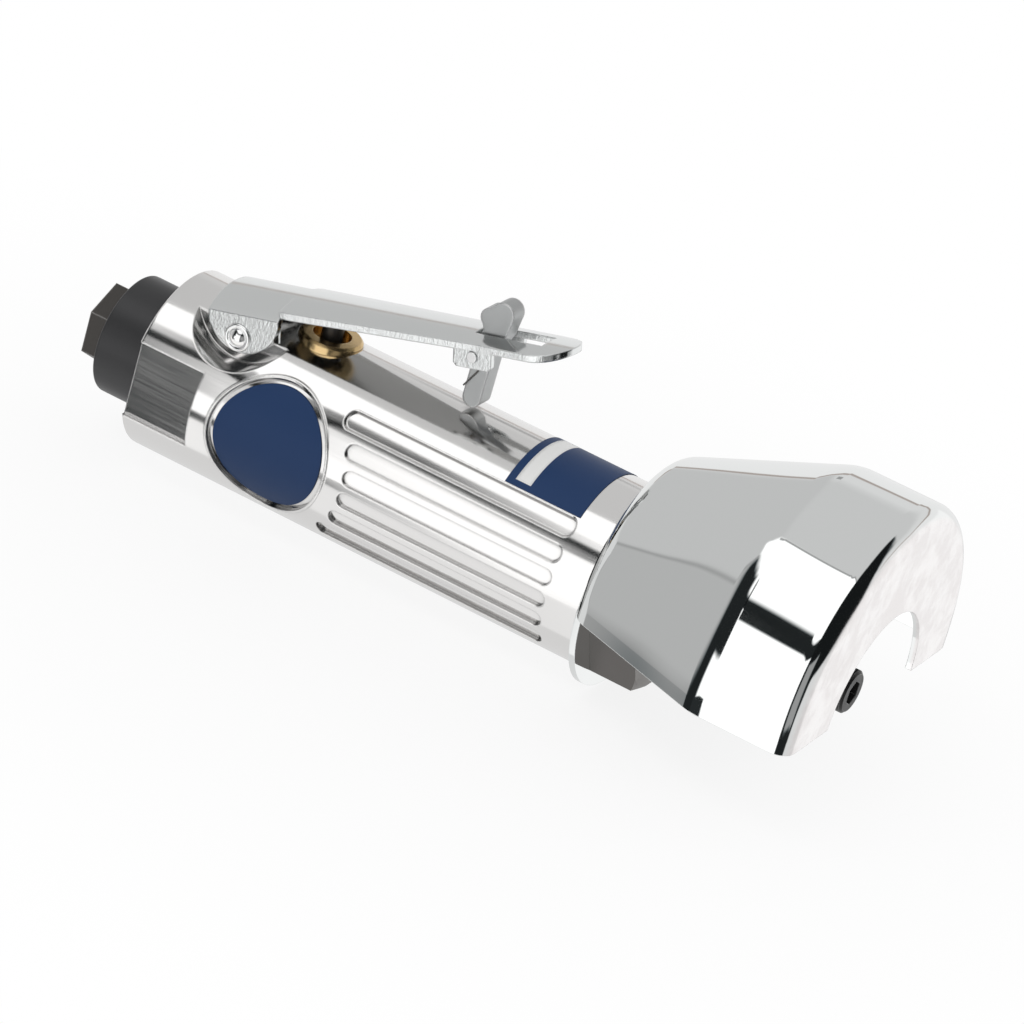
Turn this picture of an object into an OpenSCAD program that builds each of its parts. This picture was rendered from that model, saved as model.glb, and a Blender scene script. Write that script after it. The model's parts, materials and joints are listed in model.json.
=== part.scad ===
// Pneumatic cut off tool: an in-line air motor in a fluted tube, with a throttle lever
// and its lock-off lever on top, and an open-bottomed wheel guard at the front.
// Millimetres. +X runs along the spindle from the air inlet to the guard, +Z is up
// through the throttle lever, and the near side with the round label faces -Y.
// The origin is the centre of the inlet's mouth.

/* [Housing] */
// outside diameter of the tube
tube_diameter = 42; // [38:0.5:48]
// length of the tube, rear face to guard
housing_length = 118.2; // [116:0.1:124]
// rounding of the tube's rear edge
rear_rounding = 0.6; // [0.3:0.1:1]
// depth of each wrench flat below the tube's side
flat_depth = 3.2; // [2:0.1:4]
// length of the wrench flats from the rear face
flat_length = 17; // [12:0.5:17]
// half height of the wrench flats
flat_half_height = 9; // [7:0.5:10]
// centre of the round label recess, from the rear face
recess_offset = 36.8; // [36:0.1:40]
// radius of the round label recess, rim included
recess_radius = 15.5; // [12:0.1:16]
// width of the rim around the label recess
rim_width = 0.55; // [0.4:0.05:1]
// height of that rim above the tube
rim_height = 0.25; // [0.1:0.05:0.5]
// depth of the label recess below the tube
recess_depth = 0.8; // [0.4:0.1:1.2]
// grip flutes on each side
flute_count = 6; // [4:1:6]
// width of a flute
flute_width = 3.7; // [3:0.1:4.4]
// distance between neighbouring flutes
flute_pitch = 5.35; // [5:0.05:5.5]
// depth of a flute below the tube
flute_depth = 0.8; // [0.4:0.1:1.2]
// gap between the label rim and the flutes
flute_rim_gap = 4.1; // [3:0.1:6]
// where the flutes end, from the tube's front face
flute_front_margin = 9; // [7:0.5:12]

/* [Air inlet and exhaust] */
// across flats of the inlet's hexagon
inlet_flats = 17; // [16:0.5:18]
// length of the hexagon
inlet_hex_length = 6; // [5:0.5:8]
// hole radius before a G 1/4 thread is cut
inlet_bore_radius = 5.72; // [5.6:0.01:5.9]
// depth of that hole
inlet_bore_depth = 11; // [10:0.5:12]
// radius of the inlet's stem in the housing
inlet_stem_radius = 7; // [6.8:0.1:7.5]
// length of the stem in the housing
inlet_stem_length = 12; // [11:0.5:13]
// radius of the journal that the exhaust collar turns on
collar_journal_radius = 8.45; // [8.4:0.05:8.5]
// outside radius of the exhaust collar
collar_radius = 14.1; // [13.5:0.1:15]
// length of the exhaust collar
collar_length = 12.7; // [11:0.1:14]
// rounding of the collar's rear edge
collar_rounding = 0.6; // [0.3:0.1:1]
// thickness of the collar's rear wall
collar_floor = 3; // [2:0.5:4]
// wall of the exhaust collar
collar_wall = 1.6; // [1.2:0.1:2]
// width of each exhaust window in the collar
exhaust_window = 4; // [3:0.5:5]
// radius of the air passage
passage_radius = 4.2; // [3.5:0.1:4.4]
// thickness of the inlet screen
screen_thickness = 0.6; // [0.4:0.1:0.8]
// radius of the inlet screen
screen_radius = 5; // [4.8:0.1:5.2]
// radius of a hole in the inlet screen
screen_hole = 0.6; // [0.4:0.1:0.7]
// thickness of the o-ring on the inlet stem
oring_thickness = 1.5; // [1.2:0.1:1.6]
// depth of the exhaust chamber behind the collar
muffler_depth = 14; // [12:0.5:15]

/* [Throttle valve] */
// centre of the valve, from the housing's rear face
valve_offset = 35.4; // [35:0.1:37]
// radius of the brass bush's collar
bush_collar_radius = 7.2; // [6.8:0.1:7.5]
// height of the brass collar above the tube
bush_stand = 1; // [0.5:0.1:1.5]
// depth of the brass collar's seat below the tube
bush_seat_depth = 2; // [1.8:0.1:2.5]
// radius of the brass bush in the housing
bush_radius = 6; // [5.5:0.1:6.2]
// length of the brass bush below its collar
bush_length = 11; // [10:0.5:12]
// radius of the mouth in the brass collar
bush_mouth_radius = 4.4; // [4:0.1:5]
// radius of the throttle stem
stem_radius = 2.4; // [2.2:0.1:2.6]
// radius of the stem's waist
waist_radius = 1.5; // [1.3:0.1:1.7]
// radius of the valve head
valve_head_radius = 4.2; // [4:0.1:4.4]
// thickness of the valve head
valve_head_thickness = 1.8; // [1.5:0.1:2]
// thickness of the rubber valve seal
seal_thickness = 1; // [0.8:0.1:1.2]
// depth of the valve chamber below the bush
valve_chamber_depth = 15; // [14:0.5:16]
// wire of the throttle spring
throttle_wire = 0.8; // [0.6:0.1:1]
// turns of the throttle spring
throttle_turns = 6; // [4:1:7]

/* [Throttle lever] */
// lever pivot, from the housing's rear face
lever_pin_offset = 19; // [19:0.1:20]
// depth of the pivot below the tube's top
lever_pin_depth = 4.2; // [4:0.1:4.5]
// radius of the lever pin
lever_pin_radius = 2; // [1.8:0.1:2.2]
// how far the pin stands out of each ear
lever_pin_stand = 0.45; // [0.3:0.05:0.8]
// half width of the housing's lug between the ears
lug_half_width = 9.75; // [9:0.05:10]
// radius of the lug around the pin
lug_radius = 6; // [5.5:0.1:6.2]
// height of the lug above the tube
lug_stand = 1.2; // [1:0.1:1.4]
// radius of the round pocket beside the lug
pocket_radius = 12.8; // [12:0.1:13]
// height of the pocket's centre above the pin
pocket_rise = 7; // [6.8:0.1:7.5]
// thickness of the lever's sheet
lever_sheet = 1.5; // [1.3:0.1:1.6]
// slope of the released lever
lever_slope = 14.5; // [14:0.1:15]
// height of the lever's back above the pin, square to the lever
lever_back_height = 9; // [8.8:0.05:9.2]
// reach of the lever behind the pin
lever_tail = 7.5; // [7:0.1:8]
// reach of the lever in front of the pin
lever_reach = 77.3; // [76:0.1:80]
// radius of the arch across the lever's back
arch_radius = 29; // [26:0.5:34]
// radius of the rounder arch over the ears
saddle_radius = 18.5; // [17:0.5:20]
// half width of the lever in front of the ears
lever_half_width = 10.2; // [10:0.1:10.8]
// half width of the lever at the tip
tip_half_width = 8.2; // [8:0.1:8.5]
// radius of each ear
ear_radius = 9; // [8.8:0.1:9.2]
// height of the ear's centre above the pin
ear_rise = 5.5; // [5.4:0.1:5.8]

/* [Lock-off lever] */
// lock-off pivot, along the lever from its pin
lock_pin_reach = 56.2; // [55:0.1:58]
// height of the lock-off pivot above the lever pin, square to the lever
lock_pin_rise = 4.9; // [4.7:0.05:5]
// radius of the lock-off pin
lock_pin_radius = 1.2; // [1.1:0.05:1.3]
// thickness of the lock-off lever
lock_thickness = 4.9; // [4.5:0.1:5]
// width of the lock-off leg
leg_width = 4.4; // [4:0.1:4.6]
// gap between the leg's tip and the tube
leg_gap = 0.95; // [0.9:0.01:1.2]
// radius of the thumb knob's front
knob_front_radius = 2.7; // [2.5:0.05:3]
// radius of the thumb knob's back
knob_back_radius = 2.2; // [1.8:0.05:2.4]
// height of the knob's top above the lock-off pivot
knob_height = 12.1; // [11.8:0.1:12.2]
// half length of each tab that holds the lock-off pin
tab_half_length = 4.6; // [4:0.1:5]
// depth of each tab below the lock-off pivot
tab_drop = 2.6; // [2.4:0.1:3]
// wire of the lock-off spring
lock_wire = 0.4; // [0.3:0.05:0.45]
// turns of the lock-off spring
lock_turns = 3; // [2:1:3]

/* [Air motor] */
// wall of the tube around the motor
chamber_wall = 4.4; // [4.2:0.1:4.6]
// where the motor chamber starts, from the valve's centre
chamber_offset = 9.8; // [9.6:0.1:10.5]
// length of the rear end plate
rear_plate_length = 11; // [10:0.5:12]
// length of the motor cylinder
cylinder_length = 36; // [34:0.5:38]
// length of the front end plate
front_plate_length = 12; // [11:0.5:13]
// thinnest wall of the motor cylinder
cylinder_wall = 1.8; // [1.6:0.1:2.2]
// smallest gap between rotor and cylinder
rotor_gap = 0.1; // [0.08:0.01:0.15]
// offset of the cylinder's bore from the spindle
bore_offset = 1.6; // [1.4:0.1:1.8]
// number of rotor vanes
vane_count = 4; // [4:1:4]
// thickness of a vane
vane_thickness = 2; // [1.5:0.1:2.2]
// radius at which a vane slot ends
slot_floor = 5.2; // [5.1:0.1:5.6]
// radius of the cylinder's locating pin
dowel_radius = 1.2; // [1:0.1:1.3]
// depth of that pin in the end plate
dowel_depth = 3; // [2.5:0.1:4]
// distance from that pin's centre to the motor chamber's wall
dowel_inset = 2.4; // [2.2:0.1:2.6]
// radius of an air port
port_radius = 1.6; // [1.4:0.1:1.7]
// distance from the air duct's centre to the motor chamber's wall
duct_inset = 3; // [2.8:0.1:3.2]
// half width of the exhaust gallery
gallery_half_width = 5; // [4:0.5:6]
// depth of the exhaust gallery outside the motor chamber
gallery_depth = 1.3; // [1:0.1:1.6]

/* [Bearings] */
// outside radius of the rear bearing
rear_bearing_radius = 11; // [10.9:0.1:11]
// bore radius of the rear bearing
rear_shaft_radius = 4; // [3.9:0.1:4]
// width of the rear bearing
rear_bearing_width = 7; // [6.8:0.1:7]
// outside radius of the front bearing
front_bearing_radius = 13; // [12.9:0.1:13]
// bore radius of the front bearing
shaft_radius = 5; // [4.9:0.1:5]
// width of the front bearing
front_bearing_width = 8; // [7.8:0.1:8]
// ball radius as a share of the space between bore and outside
ball_share = 0.27; // [0.25:0.01:0.28]
// balls in each bearing
ball_count = 7; // [6:1:8]

/* [Guard] */
// thickness of the guard's sheet
guard_sheet = 1.5; // [1.2:0.1:1.8]
// outside radius of the hood
hood_radius = 41.1; // [40.5:0.1:43]
// height of the hood's arch centre above the spindle
hood_rise = 3.3; // [3:0.1:4]
// radius of the round back plate
plate_radius = 24; // [23.5:0.1:25]
// radius of the flat part of the hood's back
back_flat_radius = 22.3; // [21:0.1:23]
// rounding between the back plate and the hood
back_rounding = 6; // [5:0.5:7]
// angle of the flared part of the hood
flare_angle = 21.7; // [20:0.1:24]
// radius of the bend between the flare and the straight part
flare_bend = 12; // [8:0.5:16]
// depth of the guard, back plate to front plate
guard_depth = 59.9; // [58:0.1:62]
// rounding of the hood's front edge
front_rounding = 4.5; // [4:0.5:6]
// height of the hood's lower edge above the spindle
hood_edge = 0.2; // [0:0.1:1]
// radius of the arched opening in the front plate
arch_opening = 20.8; // [20:0.1:22]
// across flats of the clamp nut
nut_flats = 36; // [34:0.5:37]
// length of the nut's hexagon
nut_hex_length = 11.4; // [9:0.1:12]
// wall of the tube around the clamp nut's thread
thread_wall = 4; // [3.9:0.1:4.1]

/* [Wheel drive] */
// end of the hub, from the nut's face
hub_gap = 3; // [2:0.5:5]
// radius of the inner flange's hub
hub_radius = 8; // [7.5:0.1:9]
// radius of the inner flange
flange_radius = 14; // [12:0.5:15]
// thickness of the inner flange
flange_thickness = 4.6; // [4:0.1:5]
// radius of the boss that centres the wheel
boss_radius = 4.95; // [4.9:0.01:4.97]
// length of that boss
boss_length = 1.6; // [1.2:0.1:1.8]
// radius of the outer flange
washer_radius = 9.5; // [9:0.1:10]
// thickness of the outer flange
washer_thickness = 2.6; // [2:0.1:3]
// radius of the arbor screw's shank
screw_radius = 3; // [2.9:0.1:3]
// radius of the arbor screw's head
screw_head_radius = 5; // [4.9:0.1:5.2]
// length of the screw's head
screw_head_length = 6; // [5.5:0.1:6.5]
// hexagon socket across flats
socket_flats = 5; // [4.8:0.1:5]
// distance from the front plate's face back to the screw's face
screw_setback = 4; // [2:0.5:5]
// length of screw in the spindle
screw_engagement = 14; // [12:0.5:15]

/* [Labels] */
// radius of the round label
label_radius = 13.6; // [11:0.1:14]
// thickness of the round label
label_thickness = 0.3; // [0.2:0.05:0.5]
// width of the band label
band_width = 19; // [16:0.5:20]
// distance from the band label to the tube's front face
band_margin = 9.2; // [9:0.1:14]
// half angle that the band label covers
band_half_angle = 42; // [36:1:42]
// thickness of the band label
band_thickness = 0.15; // [0.1:0.05:0.3]

/* [Fits] */
// radial clearance of a turning or sliding fit
running_clearance = 0.05; // [0.03:0.01:0.06]
// radial clearance of a seated fit
seat_clearance = 0.03; // [0.02:0.01:0.05]
// end play of a turning piece
end_play = 0.1; // [0.05:0.01:0.15]

/* [Hidden] */
$fn = 64;
over = 1;

// Places along the spindle.
tube_radius = tube_diameter / 2;
collar_start = inlet_hex_length + end_play / 2;
housing_rear = inlet_hex_length + collar_length + end_play;
housing_front = housing_rear + housing_length;
recess_x = housing_rear + recess_offset;
valve_x = housing_rear + valve_offset;
lever_pin_x = housing_rear + lever_pin_offset;
chamber_x = valve_x + chamber_offset;
cylinder_x = chamber_x + rear_plate_length;
front_plate_x = cylinder_x + cylinder_length;
nut_thread_x = front_plate_x + front_plate_length;
plate_front = housing_front + guard_sheet;
nut_front = plate_front + nut_hex_length;
guard_front = housing_front + guard_depth;
screw_face = guard_front - screw_setback;
washer_front = screw_face - screw_head_length;
boss_front = washer_front - washer_thickness;
flange_face = boss_front - boss_length;
flange_back = flange_face - flange_thickness;
hub_back = nut_front + hub_gap;
spindle_front = flange_face - 1;

// Radii that follow from the tube.
chamber_radius = tube_radius - chamber_wall;
thread_radius = tube_radius - thread_wall;
floor_radius = tube_radius - recess_depth;
flute_floor = tube_radius - flute_depth;
bore_radius = chamber_radius - cylinder_wall - bore_offset;
rotor_radius = bore_radius - bore_offset - rotor_gap;
dowel_turn = 39;
duct_turn = -26;
muffler_inner = inlet_stem_radius + 2.2;
muffler_outer = collar_radius - 1.1;
collar_inside = collar_radius - collar_wall;

// Throttle valve levels.
bush_seat = tube_radius - bush_seat_depth;
bush_top = tube_radius + bush_stand;
valve_seat = bush_seat - bush_length;
valve_floor = valve_seat - valve_chamber_depth;
port_level = valve_seat + 5;
head_top = valve_seat - seal_thickness;
head_bottom = head_top - valve_head_thickness;
lever_pin_z = tube_radius - lever_pin_depth;
underside = lever_back_height - lever_sheet;
stem_reach = valve_x - lever_pin_x;
stem_gap = 0.08;
stem_top = lever_pin_z + stem_reach * tan(lever_slope) + underside / cos(lever_slope)
           - stem_radius * (1 / cos(lever_slope) - 1) - stem_gap;

// Throttle lever.
ear_inner = lug_half_width + 0.2;
ear_outer = ear_inner + lever_sheet;
ear_front = ear_radius + 1;
tip_centre = lever_reach - tip_half_width;

// Lock-off lever, measured from its own pivot in the tool's axes.
lock_pin_x = lever_pin_x + lock_pin_reach * cos(lever_slope) - lock_pin_rise * sin(lever_slope);
lock_pin_z = lever_pin_z + lock_pin_reach * sin(lever_slope) + lock_pin_rise * cos(lever_slope);
leg_shift = 0.05;
leg_half = leg_width / 2;
tip_drop = lock_pin_z - tube_radius - leg_gap - leg_half;
knob_front_shift = 1.8;
knob_front_rise = knob_height - knob_front_radius;
knob_back_shift = -1;
knob_back_rise = knob_front_rise - 1.9;
slot_half_width = lock_thickness / 2 + 0.85;
slot_back = lock_pin_reach - 2;
slot_front = lock_pin_reach + knob_height + 2.1;
tab_outer = tip_half_width - 0.1;
tab_inner = tab_outer - lever_sheet;
lock_coil_radius = (lock_pin_radius + running_clearance + lock_wire / 2) / cos(22.5);
lock_coil_pitch = lock_wire + 0.45;
lock_coil_start = lock_thickness / 2 + 0.15 + lock_wire / 2;

// Bearings.
function ball_radius(bore, outside) = ball_share * (outside - bore);
function pitch_radius(bore, outside) = (outside + bore) / 2;

// Shapes along the axes.
module rod_x(x0, x1, r) {
    translate([x0, 0, 0]) rotate([0, 90, 0]) cylinder(h = x1 - x0, r = r);
}

module cone_x(x0, x1, r0, r1) {
    translate([x0, 0, 0]) rotate([0, 90, 0]) cylinder(h = x1 - x0, r1 = r0, r2 = r1);
}

module ring_x(x0, x1, outer, inner) {
    difference() {
        rod_x(x0, x1, outer);
        rod_x(x0 - over, x1 + over, inner);
    }
}

module torus_x(x, middle, r) {
    translate([x, 0, 0]) rotate([0, 90, 0]) rotate_extrude() translate([middle, 0]) circle(r);
}

// A rod whose rear edge is rounded.
module rounded_rod_x(x0, x1, r, rounding) {
    translate([x0, 0, 0]) rotate([0, 90, 0]) rotate_extrude() {
        translate([0, rounding]) square([r, x1 - x0 - rounding]);
        square([r - rounding, rounding + 0.1]);
        translate([r - rounding, rounding]) circle(rounding);
    }
}

module hex_x(x0, x1, flats, turn) {
    translate([x0, 0, 0]) rotate([0, 90, 0]) rotate([0, 0, turn])
        cylinder(h = x1 - x0, r = flats / 2 / cos(30), $fn = 6);
}

module rod_y(x, z, y0, y1, r) {
    translate([x, y0, z]) rotate([-90, 0, 0]) cylinder(h = y1 - y0, r = r);
}

module rod_z(x, y, z0, z1, r) {
    translate([x, y, z0]) cylinder(h = z1 - z0, r = r);
}

// A flat shape drawn in x and z, between two values of y.
module plate_y(y0, y1) {
    translate([0, y1, 0]) rotate([90, 0, 0]) linear_extrude(y1 - y0) children();
}

module both_sides() {
    children();
    mirror([0, 1, 0]) children();
}

// A round wire through a list of points, as one closed tube of triangles.
function unit(v) = v / norm(v);
function heading(p, i) = unit(p[min(i + 1, len(p) - 1)] - p[max(i - 1, 0)]);
function side_of(d) = unit(cross(d, abs(d[2]) > 0.9 ? [1, 0, 0] : [0, 0, 1]));
function least_gap(p, skip, wire) =
    min([for (i = [0:len(p) - 1 - skip]) for (j = [i + skip:len(p) - 1]) norm(p[i] - p[j])]) - wire;

module wire_along(p, wire, sides = 6) {
    last = len(p) - 1;
    rings = [for (i = [0:last]) let (d = heading(p, i), a = side_of(d), b = cross(d, a))
             for (k = [0:sides - 1])
             p[i] + wire / 2 * (cos(360 * k / sides) * a + sin(360 * k / sides) * b)];
    walls = [for (i = [0:last - 1]) for (k = [0:sides - 1])
             let (n = (k + 1) % sides, lo = i * sides, hi = lo + sides)
             for (f = [[lo + k, hi + n, lo + n], [lo + k, hi + k, hi + n]]) f];
    start_cap = [for (k = [1:sides - 2]) [0, k, k + 1]];
    end_cap = [for (k = [1:sides - 2]) [last * sides, last * sides + k + 1, last * sides + k]];
    polyhedron(concat(rings), concat(walls, start_cap, end_cap));
}

function coil(r, pitch, turns) =
    [for (i = [0:turns * 8]) [r * cos(45 * i), r * sin(45 * i), pitch * i / 8]];

// Motor housing.
module flute_rows() {
    for (i = [0:flute_count - 1]) {
        z = (i - (flute_count - 1) / 2) * flute_pitch;
        start = recess_x + sqrt(pow(recess_radius + flute_rim_gap, 2) - z * z) + flute_width / 2;
        stop = housing_front - flute_front_margin - flute_width / 2;
        translate([0, 0, z]) plate_y(-tube_radius - over, -over) {
            translate([start, 0]) circle(flute_width / 2);
            translate([stop, 0]) circle(flute_width / 2);
            translate([start, -flute_width / 2]) square([stop - start, flute_width]);
        }
    }
}

module flutes() {
    difference() {
        flute_rows();
        rod_x(housing_rear, housing_front, flute_floor);
    }
}

module label_recess() {
    difference() {
        rod_y(recess_x, 0, -tube_radius - over, 0, recess_radius - rim_width);
        rod_x(housing_rear, housing_front, floor_radius);
    }
}

module label_rim() {
    intersection() {
        difference() {
            rod_y(recess_x, 0, -tube_radius - over, -tube_radius / 2, recess_radius);
            rod_y(recess_x, 0, -tube_radius - 2 * over, 0, recess_radius - rim_width);
        }
        ring_x(recess_x - recess_radius - over, recess_x + recess_radius + over,
               tube_radius + rim_height, floor_radius - over);
    }
}

module wrench_flat() {
    translate([housing_rear - over, -tube_radius - over, -flat_half_height])
        cube([flat_length + over, over + flat_depth, 2 * flat_half_height]);
}

module lever_pocket() {
    rod_y(lever_pin_x, lever_pin_z + pocket_rise, -tube_radius - over, -lug_half_width,
          pocket_radius);
}

module lever_lug() {
    intersection() {
        rod_y(lever_pin_x, lever_pin_z, -lug_half_width, lug_half_width, lug_radius);
        rod_x(lever_pin_x - lug_radius - over, lever_pin_x + lug_radius + over,
              tube_radius + lug_stand);
    }
}

module housing_outside() {
    rounded_rod_x(housing_rear, housing_front, tube_radius, rear_rounding);
}

module housing_passages() {
    // inlet, exhaust chamber and the two exhaust ducts
    rod_x(housing_rear - over, housing_rear + inlet_stem_length + 1,
          inlet_stem_radius + seat_clearance);
    rod_x(housing_rear, valve_x, passage_radius);
    ring_x(housing_rear - over, housing_rear + muffler_depth, muffler_outer, muffler_inner);
    both_sides() translate([0, -4, -(muffler_inner + muffler_outer) / 2 + 0.8])
        rod_x(housing_rear + muffler_depth - over, chamber_x + over, 1.6);
    // exhaust gallery under the cylinder
    translate([chamber_x, -gallery_half_width, -chamber_radius - gallery_depth])
        cube([rear_plate_length + 0.9 * cylinder_length, 2 * gallery_half_width,
              3 * gallery_depth]);
    translate([chamber_x - 3 * gallery_depth, -gallery_half_width,
               -chamber_radius - gallery_depth])
        cube([3 * gallery_depth + over, 2 * gallery_half_width,
              chamber_radius + gallery_depth - muffler_inner + 0.6]);
    // valve, and the passage from the valve to the motor
    rod_z(valve_x, 0, valve_floor, valve_seat + over, bush_radius - 1);
    rod_z(valve_x, 0, valve_seat, bush_seat + over, bush_radius + seat_clearance);
    rod_z(valve_x, 0, bush_seat, tube_radius + over, bush_collar_radius + seat_clearance);
    translate([0, 0, port_level]) rod_x(valve_x, chamber_x + over, 2.2);
    // motor chamber, room for the spindle's end, and the clamp nut's thread
    rod_x(chamber_x - 2, chamber_x + over, rear_bearing_radius - 1.5);
    rod_x(chamber_x, nut_thread_x + over, chamber_radius);
    rod_x(nut_thread_x, housing_front + over, thread_radius);
}

module motor_housing() {
    color([0.80, 0.80, 0.81]) difference() {
        union() {
            difference() {
                housing_outside();
                both_sides() {
                    flutes();
                    label_recess();
                    wrench_flat();
                    lever_pocket();
                }
            }
            both_sides() label_rim();
            lever_lug();
        }
        housing_passages();
        rod_y(lever_pin_x, lever_pin_z, -tube_radius, tube_radius,
              lever_pin_radius + seat_clearance);
    }
}

// Air inlet and exhaust.
module inlet_bushing() {
    stem_end = housing_rear + inlet_stem_length;
    ring_plane = stem_end - 3;
    color([0.16, 0.16, 0.17]) difference() {
        union() {
            hex_x(0, inlet_hex_length, inlet_flats, 0);
            rod_x(inlet_hex_length - 0.2, housing_rear, collar_journal_radius);
            rod_x(housing_rear - 0.2, stem_end, inlet_stem_radius);
        }
        rod_x(-over, inlet_bore_depth, inlet_bore_radius);
        rod_x(0, inlet_bore_depth + screen_thickness + 0.2, screen_radius);
        rod_x(0, stem_end + over, passage_radius);
        ring_x(ring_plane - oring_thickness / 2 - 0.1, ring_plane + oring_thickness / 2 + 0.1,
               inlet_stem_radius + over, inlet_stem_radius - oring_thickness - seat_clearance);
    }
}

module inlet_screen() {
    color([0.72, 0.60, 0.35]) difference() {
        rod_x(inlet_bore_depth + 0.2, inlet_bore_depth + 0.2 + screen_thickness,
              screen_radius - seat_clearance);
        for (row = [-2:2])
            for (col = [-2:2])
                translate([0, 1.5 * col, 1.5 * row])
                    rod_x(inlet_bore_depth - over, inlet_bore_depth + 2, screen_hole);
    }
}

module inlet_oring() {
    color([0.08, 0.08, 0.08])
        torus_x(housing_rear + inlet_stem_length - 3, inlet_stem_radius - oring_thickness / 2,
                oring_thickness / 2);
}

module exhaust_collar() {
    front = collar_start + collar_length;
    color([0.13, 0.13, 0.14]) difference() {
        rounded_rod_x(collar_start, front, collar_radius, collar_rounding);
        rod_x(0, front + over, collar_journal_radius + running_clearance);
        rod_x(collar_start + collar_floor, front + over, collar_inside);
        for (turn = [-70, -45, -20])
            rotate([turn, 0, 0])
                translate([collar_start + collar_floor + 1, 0, -exhaust_window / 2])
                    cube([exhaust_window + 1.5, collar_radius + over, exhaust_window]);
    }
}

module muffler_felt() {
    color([0.35, 0.35, 0.34])
        ring_x(housing_rear + 0.4, housing_rear + muffler_depth - 0.4,
               muffler_outer - seat_clearance, muffler_inner + seat_clearance);
}

// Throttle valve.
module throttle_bushing() {
    color([0.78, 0.60, 0.30]) difference() {
        union() {
            rod_z(valve_x, 0, bush_seat, bush_top - 0.6, bush_collar_radius);
            translate([valve_x, 0, bush_top - 0.6])
                cylinder(h = 0.6, r1 = bush_collar_radius, r2 = bush_collar_radius - 0.6);
            rod_z(valve_x, 0, valve_seat, bush_seat + 0.2, bush_radius);
        }
        rod_z(valve_x, 0, valve_seat - over, valve_seat + 7, stem_radius + 0.6);
        rod_z(valve_x, 0, valve_seat, bush_top, stem_radius + running_clearance);
        rod_z(valve_x, 0, bush_top - 2.5, bush_top + over, bush_mouth_radius);
        translate([0, 0, port_level]) rod_x(valve_x - 9, valve_x + 9, 1.8);
    }
}

module throttle_stem() {
    color([0.10, 0.10, 0.11]) {
        rod_z(valve_x, 0, valve_seat + 6.5, stem_top - stem_radius, stem_radius);
        translate([valve_x, 0, stem_top - stem_radius]) sphere(stem_radius);
        rod_z(valve_x, 0, head_bottom - 2, valve_seat + 6.5, waist_radius);
        rod_z(valve_x, 0, head_bottom, head_top, valve_head_radius);
    }
}

module valve_seal() {
    color([0.07, 0.07, 0.07]) difference() {
        rod_z(valve_x, 0, head_top, valve_seat, valve_head_radius - 0.2);
        rod_z(valve_x, 0, head_top - over, valve_seat + over, waist_radius + seat_clearance);
    }
}

module throttle_spring() {
    height = head_bottom - valve_floor - throttle_wire;
    points = coil(waist_radius + 0.3 + throttle_wire, height / throttle_turns, throttle_turns);
    echo(throttle_spring_gap = least_gap(points, 5, throttle_wire));
    color([0.70, 0.70, 0.72]) translate([valve_x, 0, valve_floor + throttle_wire / 2])
        wire_along(points, throttle_wire);
}

// Throttle lever. Its own axes start at the lever pin and run along its straight back.
module lever_axes() {
    translate([lever_pin_x, 0, lever_pin_z]) rotate([0, -lever_slope, 0]) children();
}

// A rod along the lever whose top is at a given height.
module arch_rod(u0, u1, top, r) {
    translate([0, 0, top - r]) rod_x(u0, u1, r);
}

// Plan of the lever in front of the ears.
module lever_plan() {
    polygon([[ear_front - 0.5, -lever_half_width], [ear_front + 1, -lever_half_width],
             [lock_pin_reach, -tip_half_width], [tip_centre, -tip_half_width],
             [tip_centre, tip_half_width], [lock_pin_reach, tip_half_width],
             [ear_front + 1, lever_half_width], [ear_front - 0.5, lever_half_width]]);
    translate([tip_centre, 0]) circle(tip_half_width);
}

// The block that the saddle and its two ears are hollowed from.
module saddle_block() {
    intersection() {
        plate_y(-ear_outer, ear_outer) {
            translate([1.2, ear_rise]) circle(ear_radius);
            translate([-lever_tail, ear_rise]) square([lever_tail + ear_front, ear_radius]);
        }
        arch_rod(-lever_tail, ear_front, lever_back_height + 0.1, saddle_radius);
    }
}

module saddle_hollow() {
    intersection() {
        arch_rod(-lever_tail - over, ear_front + 0.01, lever_back_height + 0.1 - lever_sheet,
                 saddle_radius - lever_sheet);
        translate([-lever_tail - 2 * over, -ear_inner, -2 * saddle_radius])
            cube([lever_reach, 2 * ear_inner, 4 * saddle_radius]);
    }
}

module tab() {
    low = lock_pin_rise - tab_drop;
    back = lock_pin_reach - tab_half_length;
    front = lock_pin_reach + tab_half_length;
    difference() {
        intersection() {
            arch_rod(back - over, front + over, lever_back_height - 0.5, arch_radius - 0.5);
            plate_y(-tab_outer, -tab_inner)
                polygon([[back, low + 0.8], [back + 0.8, low], [front - 0.8, low],
                         [front, low + 0.8], [front, lever_back_height],
                         [back, lever_back_height]]);
        }
        rod_y(lock_pin_reach, lock_pin_rise, -tab_outer - over, -tab_inner + over,
              lock_pin_radius + seat_clearance);
    }
}

module throttle_lever() {
    color([0.86, 0.86, 0.87]) lever_axes() {
        difference() {
            intersection() {
                union() {
                    saddle_block();
                    linear_extrude(lever_back_height + over) lever_plan();
                }
                arch_rod(-lever_tail - over, lever_reach + over, lever_back_height, arch_radius);
            }
            arch_rod(ear_front, lever_reach + 2 * over, lever_back_height - lever_sheet,
                     arch_radius - lever_sheet);
            saddle_hollow();
            translate([slot_back, -slot_half_width, 0])
                cube([slot_front - slot_back, 2 * slot_half_width, lever_back_height + over]);
            rod_y(0, 0, -ear_outer - over, ear_outer + over,
                  lever_pin_radius + running_clearance);
        }
        both_sides() tab();
    }
}

module lever_pin() {
    end = ear_outer + lever_pin_stand;
    color([0.66, 0.66, 0.67]) difference() {
        rod_y(lever_pin_x, lever_pin_z, -end, end, lever_pin_radius);
        both_sides() translate([lever_pin_x, -end - 0.01, lever_pin_z]) rotate([-90, 0, 0])
            cylinder(h = 1, r1 = lever_pin_radius - 0.6, r2 = 0.4);
    }
}

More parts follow.
